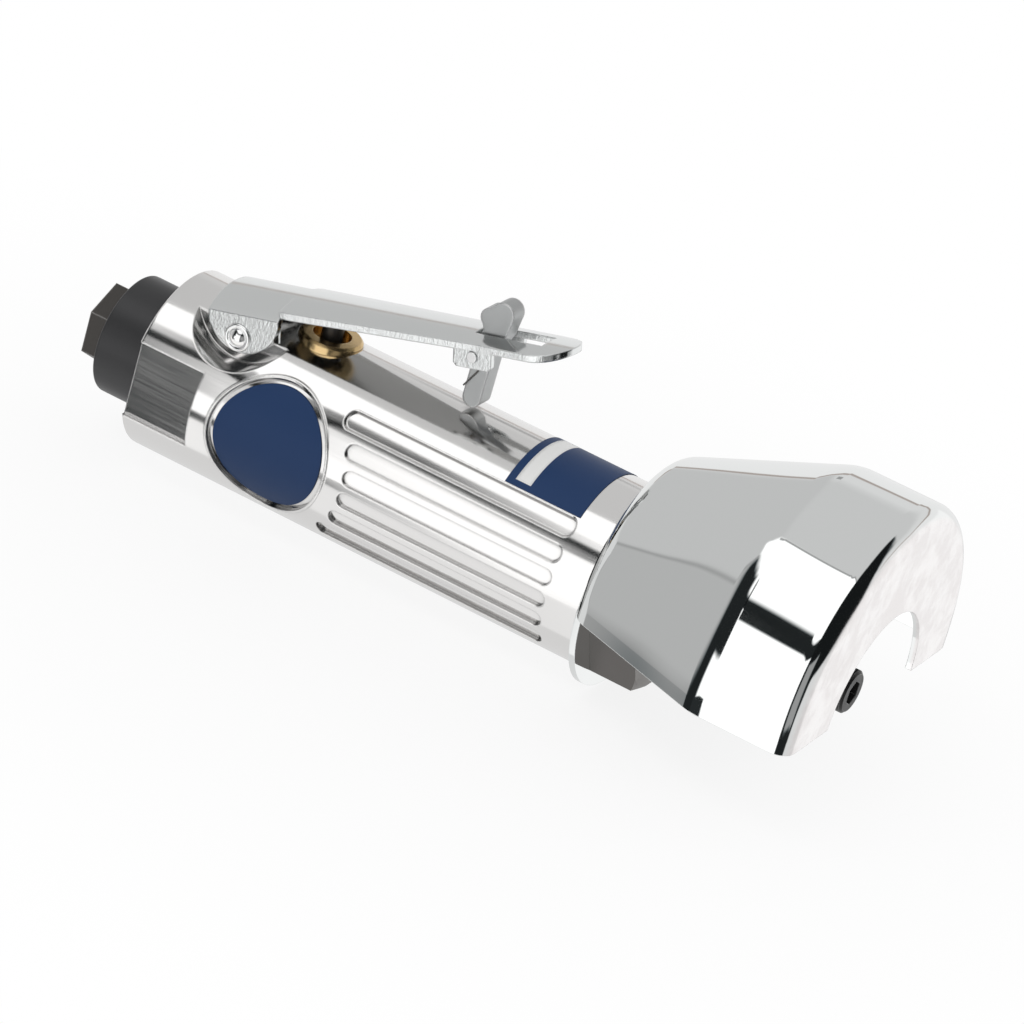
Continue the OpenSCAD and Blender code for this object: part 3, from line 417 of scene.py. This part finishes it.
# %% [markdown]
# ## Roughness and normal of a finish
# Polishing leaves the metal a little rougher in some places than in others, so the
# effects add to the roughness. The surface also has heights. From the finest to the
# slowest they are an edge that seems rounded, the marks themselves and the waves of
# formed sheet. Each bump node takes the normal of the one before.

# %% Steps of a finish
def use_group(tree, group, vector, **values):
    node = add(tree, "ShaderNodeGroup")
    node.node_tree = group
    link(tree, vector, node.inputs["Vector"])
    for label, value in values.items():
        node.inputs[label].default_value = value
    return node.outputs["Value"]


def bump_on(tree, shader, normal, height, distance):
    """Adds a bump of the given distance in metres on top of a normal."""
    bumped = add(tree, "ShaderNodeBump", Strength=1.0, Distance=distance)
    link(tree, height, bumped.inputs["Height"])
    if normal is not None:
        link(tree, normal, bumped.inputs["Normal"])
    link(tree, bumped.outputs[0], shader.inputs["Normal"])
    return bumped.outputs[0]


def spread_roughness(tree, shader, vector, rough, effects):
    """Adds the effects to the roughness, and returns the first one as a height."""
    total, height = None, None
    for effect, group, labels in effects:
        if effect is None:
            continue
        value = use_group(tree, group, vector, **dict(zip(labels, effect)))
        part = math_node(tree, "MULTIPLY", value, effect[-1])
        total = part if total is None else math_node(tree, "ADD", total, part)
        height = height or value
    if total is not None:
        uneven = math_node(tree, "ADD", total, rough, clamp=True)
        link(tree, uneven, shader.inputs["Roughness"])
    return height


def hammered_sides(tree, shader, vector, normal, along, across, height):
    """A short grain on the faces that look to the left or right, which are sheared."""
    value = use_group(tree, lines_group, vector, Along=along, Across=across)
    sideways = math_node(tree, "ABSOLUTE", part_of(tree, coordinates(tree, "Normal"), 1))
    sideways = ramp_between(tree, sideways, 0.6, 0.9)
    rough = shader.inputs["Roughness"].links[0].from_socket
    added = math_node(tree, "MULTIPLY", sideways, 0.05)
    link(tree, math_node(tree, "ADD", rough, added), shader.inputs["Roughness"])
    return bump_on(tree, shader, normal, math_node(tree, "MULTIPLY", value, sideways),
                   height)


print("steps for roughness and normal")

# %% [markdown]
# ## Colour of a finish
# Four things change the colour of bare or blackened metal: a faint change along the
# polishing lines, painted shade in corners where faces meet, painted shade on faces
# that look down, and lighter edges, which are bare metal where the black has rubbed off
# and a painted highlight on the rims of the grey casting. Each is a mix on top of the
# one before, and a finish only pays for those that it uses.

# %% Colour steps
def painted_corner_shade(tree, reach, share):
    """Painted shade: a factor for the colour that falls to the share where faces meet within
    the reach in metres.
    """
    corner = add(tree, "ShaderNodeAmbientOcclusion", Distance=reach)
    corner.samples = 6
    return ramp_between(tree, corner.outputs["AO"], 0.35, 0.95, share, 1.0)


# Painted shade: the colour falls to the share on faces that look down.
def painted_underside_shade(tree, share):
    upwards = part_of(tree, coordinates(tree, "Normal"), 2)
    return ramp_between(tree, upwards, -0.8, -0.3, share, 1.0)


def edge_wear_and_highlight(tree, reach):
    """1 at edges, where the rounded normal of a Bevel node leaves the true one. The colour
    given there is bare metal where the black has rubbed off, and a painted highlight on the
    rims of the grey casting.
    """
    edge = add(tree, "ShaderNodeBevel", Radius=reach)
    edge.samples = 6
    agreement = add(tree, "ShaderNodeVectorMath")
    agreement.operation = "DOT_PRODUCT"
    link(tree, edge.outputs[0], agreement.inputs[0])
    link(tree, add(tree, "ShaderNodeNewGeometry").outputs["Normal"], agreement.inputs[1])
    return ramp_between(tree, agreement.outputs["Value"], 0.95, 0.998, 1.0, 0.0)


print("steps for colour")

# %% [markdown]
# ## A finish
# One function builds every material of the tool, so that all of them work alike. A
# plain colour stays on the shader's own socket, and is only replaced where it changes
# over the surface.

# %% A finish from the steps
def finish(name, colour, metallic, rough, lines=None, marks=None, uneven=None, bump=0.0,
           tint=0.0, soft_edge=0.25 * MM, wave=None, sides=None, corner_shade=None, under=1.0,
           wear_and_highlight=None, gloss=0.5):
    """lines = (along, across, roughness added), marks and uneven = (scale, roughness
    added), bump = height of the first of them in metres, tint = change of colour along
    it, soft_edge = radius that a sharp edge seems to have, wave = (along, across, height
    in metres) of slow waves, sides = the same for the grain on faces that look left or
    right, crevice = (reach in metres, share of the colour left in a corner by painted
    shade), under = share of the colour left by painted shade on faces that look down,
    worn = (reach, colour) of lighter edges, which are wear on blackened steel and a
    painted highlight on the grey casting, gloss = strength of the mirror on a finish
    that is no metal."""
    look = bpy.data.materials.new(name)
    look.use_nodes = True
    tree = look.node_tree
    shader = tree.nodes["Principled BSDF"]
    shader.inputs["Base Color"].default_value = (*colour, 1)
    shader.inputs["Metallic"].default_value = metallic
    shader.inputs["Roughness"].default_value = rough
    shader.inputs["Specular IOR Level"].default_value = gloss
    vector = coordinates(tree, "Object")
    height = spread_roughness(tree, shader, vector, rough,
                              ((lines, lines_group, ("Along", "Across")),
                               (marks, marks_group, ("Scale",)),
                               (uneven, uneven_group, ("Scale",))))
    normal = None
    if soft_edge:
        rounded = add(tree, "ShaderNodeBevel", Radius=soft_edge)
        rounded.samples = 6
        normal = rounded.outputs[0]
        link(tree, normal, shader.inputs["Normal"])
    if bump and height is not None:
        normal = bump_on(tree, shader, normal, height, bump)
    if wave is not None:
        value = use_group(tree, lines_group, vector, Along=wave[0], Across=wave[1],
                          Detail=0.0)
        normal = bump_on(tree, shader, normal, value, wave[2])
    if sides is not None:
        hammered_sides(tree, shader, vector, normal, *sides)
    painted = colour
    if tint and height is not None:
        painted = mix_colour(tree, [c * (1 - tint) for c in colour],
                             [min(1, c * (1 + tint)) for c in colour],
                             ramp_between(tree, height, 0.3, 0.7))
    # painted shade in corners where faces meet: the colour falls there
    if corner_shade is not None:
        painted = mix_colour(tree, painted, painted_corner_shade(tree, *corner_shade), blend="MULTIPLY")
    # painted shade on faces that look down
    if under < 1:
        painted = mix_colour(tree, painted, painted_underside_shade(tree, under), blend="MULTIPLY")
    # lighter edges: wear on blackened steel, a painted highlight on the grey casting
    if wear_and_highlight is not None:
        painted = mix_colour(tree, painted, wear_and_highlight[1], edge_wear_and_highlight(tree, wear_and_highlight[0]))
    if painted is not colour:
        link(tree, painted, shader.inputs["Base Color"])
    return look


print("finish ready")

# %% [markdown]
# ## The metals
# The chrome is almost a perfect mirror. The tube is polished aluminium: softer, a
# little warm, with lines along its length. The hexagon is black oxide with bare edges,
# the collar is satin black, and the lock-off lever is a satin casting. The pieces
# inside get the plain finish that they have in a real motor.

# %% Metals and other materials
looks = {
    "guard_chrome": finish("guard_chrome", (0.89, 0.905, 0.90), 1.0, 0.02,
                           lines=(18, 500, 0.04), tint=0.04, wave=(20, 58, 0.0012)),
    # the lever's faces that look down get painted shade, half of their colour
    "chrome": finish("lever_chrome", (0.82, 0.835, 0.832), 1.0, 0.06,
                     lines=(60, 2500, 0.12), bump=0.0000006, sides=(1500, 600, 0.00010),
                     soft_edge=0.0005, under=0.5),
    # the corners of the tube's flutes get painted shade
    "polished_aluminium": finish("polished_aluminium", (0.88, 0.87, 0.86), 1.0, 0.05,
                                 lines=(30, 2200, 0.09), uneven=(60, 0.04),
                                 bump=0.0000005, soft_edge=0.0006, wave=(20, 120, 0.00012),
                                 corner_shade=(0.0016, 0.62)),
    "black_steel": finish("black_oxide", (0.12, 0.112, 0.105), 0.8, 0.34,
                          marks=(600, 0.25), uneven=(120, 0.15), tint=0.35,
                          soft_edge=0.0006, wear_and_highlight=(0.0005, (0.34, 0.33, 0.32))),
    "black_collar": finish("satin_black", (0.040, 0.040, 0.042), 0.3, 0.30,
                           lines=(40, 1500, 0.16), bump=0.000002),
    "brass": finish("turned_brass", (0.72, 0.52, 0.26), 1.0, 0.16, uneven=(300, 0.1)),
    "screen_brass": finish("screen_brass", (0.62, 0.48, 0.24), 1.0, 0.3, uneven=(300, 0.1)),
    "seal_rubber": finish("seal_rubber", (0.02, 0.02, 0.02), 0.0, 0.6, uneven=(400, 0.2)),
    "felt": finish("felt", (0.30, 0.30, 0.29), 0.0, 0.9, marks=(3000, 0.1), bump=0.0002),
    "spring_steel": finish("spring_steel", (0.55, 0.55, 0.57), 1.0, 0.2, uneven=(200, 0.1)),
    "pin_steel": finish("pin_steel", (0.90, 0.90, 0.90), 1.0, 0.10, uneven=(500, 0.15)),
    # the lighter rims of the casting are a painted highlight
    "cast_grey": finish("cast_grey", (0.47, 0.48, 0.48), 0.9, 0.36,
                        marks=(1500, 0.2), uneven=(400, 0.1), bump=0.00001,
                        soft_edge=0.0006, wear_and_highlight=(0.0007, (0.80, 0.80, 0.80))),
    "plate_aluminium": finish("turned_aluminium", (0.62, 0.62, 0.63), 1.0, 0.3,
                              lines=(3000, 60, 0.1)),
    "cylinder_iron": finish("cylinder_iron", (0.22, 0.22, 0.23), 0.8, 0.4,
                            uneven=(200, 0.2)),
    "ground_steel": finish("ground_steel", (0.36, 0.36, 0.37), 1.0, 0.25,
                           lines=(2500, 40, 0.15)),
    "vane_laminate": finish("vane_laminate", (0.30, 0.18, 0.08), 0.0, 0.55,
                            lines=(40, 3000, 0.2), tint=0.25),
    "bearing_steel": finish("bearing_steel", (0.70, 0.70, 0.72), 1.0, 0.08,
                            uneven=(300, 0.05)),
    "nut_steel": finish("nut_steel", (0.15, 0.141, 0.134), 1.0, 0.22,
                        marks=(500, 0.2), uneven=(80, 0.2), wave=(150, 150, 0.0002)),
    "screw_steel": finish("screw_oxide", (0.035, 0.034, 0.033), 0.7, 0.30, uneven=(300, 0.2),
                          wear_and_highlight=(0.0003, (0.20, 0.20, 0.20))),
    "label_blue": finish("label_blue", (0.016, 0.044, 0.125), 0.0, 0.42,
                         marks=(2500, 0.15), uneven=(80, 0.1), gloss=0.22),
}
print("finishes", len(looks))

# %% [markdown]
# ## Ground front of the guard
# The flat front of the guard is only ground, not polished like the rest. It is found by
# its place along the tool, and is paler, rougher and a little blotchy.

# %% Ground front of the guard
front_start, front_full = 195.8 * MM, 196.6 * MM
tree = looks["guard_chrome"].node_tree
shader = tree.nodes["Principled BSDF"]
place = coordinates(tree, "Object")
on_front = ramp_between(tree, part_of(tree, place, 0), front_start, front_full)
blotch = add(tree, "ShaderNodeTexNoise", Scale=160.0, Detail=3.0, Roughness=0.6)
link(tree, place, blotch.inputs["Vector"])
ground = mix_colour(tree, (0.86, 0.83, 0.825), (0.97, 0.95, 0.945),
                    ramp_between(tree, blotch.outputs[0], 0.36, 0.66))
chrome = tuple(shader.inputs["Base Color"].default_value)[:3]
link(tree, mix_colour(tree, chrome, ground, on_front), shader.inputs["Base Color"])
rough = shader.inputs["Roughness"].links[0].from_socket
rougher = math_node(tree, "ADD", rough, math_node(tree, "MULTIPLY", on_front, 0.16))
link(tree, rougher, shader.inputs["Roughness"])
print("guard finish nodes", len(tree.nodes))

# %% [markdown]
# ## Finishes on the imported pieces
# The record names a material slot for each piece, and the finishes above carry the same
# names, so one loop dresses the whole tool.

# %% Every CAD node gets its finish
slot_of = {part["node"]: part["material_slot"] for part in frame["record"]["subparts"]}
for name, piece in nodes.items():
    piece.data.materials.clear()
    piece.data.materials.append(looks[slot_of[name]])
print("slots used", len(set(slot_of.values())))

# %% [markdown]
# ## Pieces of our own
# The frame doesn't hold every small form, so a few pieces are made here. Each is a mesh
# in its final place, on an object that sits unturned at the origin. It rides on the body
# that carries it, so it moves with the joints.

# %% A finished piece
def finished_piece(name, mesh, look, body, smooth=lambda face: True):
    """Makes the object of a mesh. The test smooth says which faces are shaded smooth."""
    for face in mesh.polygons:
        face.use_smooth = smooth(face)
    mesh.materials.clear()
    mesh.materials.append(look)
    piece = bpy.data.objects.new(name, mesh)
    scene.collection.objects.link(piece)
    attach(piece, body)
    print(name, len(mesh.polygons), "faces")
    return piece


def sort_by_place(parts, place):
    for i, part in enumerate(sorted(parts, key=lambda part: tuple(place(part)))):
        part.index = i
    parts.sort()


def mesh_of(name, bm):
    """Makes a mesh of a bmesh. Some of its operators leave vertices and faces in another
    order on each run, so they are sorted by place first."""
    sort_by_place(bm.verts, lambda vert: vert.co)
    sort_by_place(bm.faces, lambda face: face.calc_center_median())
    mesh = bpy.data.meshes.new(name)
    bm.to_mesh(mesh)
    bm.free()
    return mesh


# %% [markdown]
# ## The two springs
# A spring is one round wire. A curve with a bevel gives the wire its thickness along any
# route, and it is turned into a mesh at once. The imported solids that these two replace
# are only six sided.

# %% Wire along a route
def wire_mesh(name, route, wire):
    data = bpy.data.curves.new(name, "CURVE")
    data.dimensions = "3D"
    data.bevel_depth = wire / 2
    data.bevel_resolution = 4
    data.use_fill_caps = True
    spline = data.splines.new("POLY")
    spline.points.add(len(route) - 1)
    for point, place in zip(spline.points, route):
        point.co = (*place, 1)
    bent = bpy.data.objects.new(name + "_route", data)
    scene.collection.objects.link(bent)
    mesh = bpy.data.meshes.new_from_object(bent.evaluated_get(
        bpy.context.evaluated_depsgraph_get()))
    bpy.data.objects.remove(bent)
    mesh.name = name
    return mesh


# %% [markdown]
# The valve spring stands under the valve and is pressed together when the lever goes
# down. Here it is one fixed coil on the tool's body.

# %% Valve spring
valve_x = 54.2 * MM
low, high, turns, steps_per_turn = -6.6 * MM, 4.8 * MM, 6, 24
coil_radius = 2.6 * MM
route = []
for i in range(steps_per_turn * turns + 1):
    angle = 2 * pi * i / steps_per_turn
    route.append((valve_x + coil_radius * cos(angle), coil_radius * sin(angle),
                  low + (high - low) * i / (steps_per_turn * turns)))
valve_spring = finished_piece("valve_spring", wire_mesh("valve_spring", route, 0.8 * MM),
                              looks["spring_steel"], "tool_body")
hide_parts("throttle_spring")
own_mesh(valve_spring)

# %% [markdown]
# The torsion spring sits round the pin of the lock-off lever. Its route starts with the
# leg that lies against the lever and goes on in three turns along the pin.

# %% Torsion spring of the lock-off lever
lever_pin = (37.8 * MM, 16.8 * MM)
slope = radians(14.5)
reach, rise = 56.2 * MM, 4.9 * MM
lock_x = lever_pin[0] + reach * cos(slope) - rise * sin(slope)
lock_z = lever_pin[1] + reach * sin(slope) + rise * cos(slope)
coil_radius, pitch, start_y = 1.5 * MM, 0.85 * MM, -2.8 * MM
leg = [(-2.4 * MM, start_y, -9.4 * MM), (-0.2 * MM, start_y, -5.2 * MM),
       (coil_radius * 0.98, start_y, -1.2 * MM)]
coils = []
for i in range(steps_per_turn * 3 + 1):
    angle = 2 * pi * i / steps_per_turn
    coils.append((coil_radius * cos(angle), start_y - pitch * i / steps_per_turn,
                  -coil_radius * sin(angle)))
route = [(lock_x + x, y, lock_z + z) for x, y, z in leg + coils]
lock_spring = finished_piece("lock_spring_wire", wire_mesh("lock_spring_wire", route, 0.4 * MM),
                             looks["black_steel"], "lock_off")
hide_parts("lock_off_spring")

# %% [markdown]
# ## Rivet heads of the lever's pin
# The pin is closed with a domed head on each side. A head is a profile spun about the
# pin: a dome, a thin groove round it and a rolled rim.

# %% Rivet heads
# radius from the pin's axis and height over the lever's ear, both in millimetres
HEAD_PROFILE = [(0.0, 1.25), (0.5, 1.20), (1.0, 1.05), (1.5, 0.78), (1.9, 0.44),
                (2.05, 0.26), (2.22, 0.26), (2.36, 0.44), (2.65, 0.52), (2.95, 0.48),
                (3.2, 0.30), (3.25, 0.0)]
ear_side = abs(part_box("throttle_lever")[0][1])
head_gap = 0.08 * MM
for name, side in (("pin_head_near", -1), ("pin_head_far", 1)):
    bm = bmesh.new()
    points = [bm.verts.new((r * MM, side * (ear_side + head_gap + height * MM), 0))
              for r, height in HEAD_PROFILE]
    edges = [bm.edges.new(pair) for pair in zip(points, points[1:])]
    bmesh.ops.spin(bm, geom=points + edges, cent=(0, 0, 0), axis=(0, 1, 0), angle=2 * pi,
                   steps=48, use_merge=True)
    bmesh.ops.remove_doubles(bm, verts=bm.verts, dist=0.001 * MM)
    bmesh.ops.holes_fill(bm, edges=[e for e in bm.edges if e.is_boundary], sides=0)
    bmesh.ops.translate(bm, verts=bm.verts, vec=(lever_pin[0], 0, lever_pin[1]))
    bmesh.ops.recalc_face_normals(bm, faces=bm.faces)
    finished_piece(name, mesh_of(name, bm), looks["pin_steel"], "tool_body",
                   lambda face: len(face.vertices) < 5)

# %% [markdown]
# ## A blank box on the band label
# The band label has an empty white box beside its rear edge. It is a thin printed
# patch, so a flat grid is bent round the tube's axis just above the label.

# %% White box
white_print = finish("white_print", (0.86, 0.86, 0.85), 0.0, 0.35, uneven=(90, 0.1),
                     soft_edge=0)
patch_x, patch_half_width, patch_thickness = 112.5 * MM, 1.9 * MM, 0.02 * MM
patch_radius, patch_angle, patch_half_angle = 21.17 * MM, 98, 30
bm = bmesh.new()
bmesh.ops.create_grid(bm, x_segments=4, y_segments=32, size=1.0)
for vert in bm.verts:
    x = patch_x + patch_half_width * vert.co.x
    angle = radians(patch_angle + patch_half_angle * vert.co.y)
    vert.co = (x, patch_radius * cos(angle), patch_radius * sin(angle))
bmesh.ops.recalc_face_normals(bm, faces=bm.faces)
bmesh.ops.solidify(bm, geom=bm.faces, thickness=-patch_thickness)
finished_piece("label_box", mesh_of("label_box", bm), white_print, "tool_body")
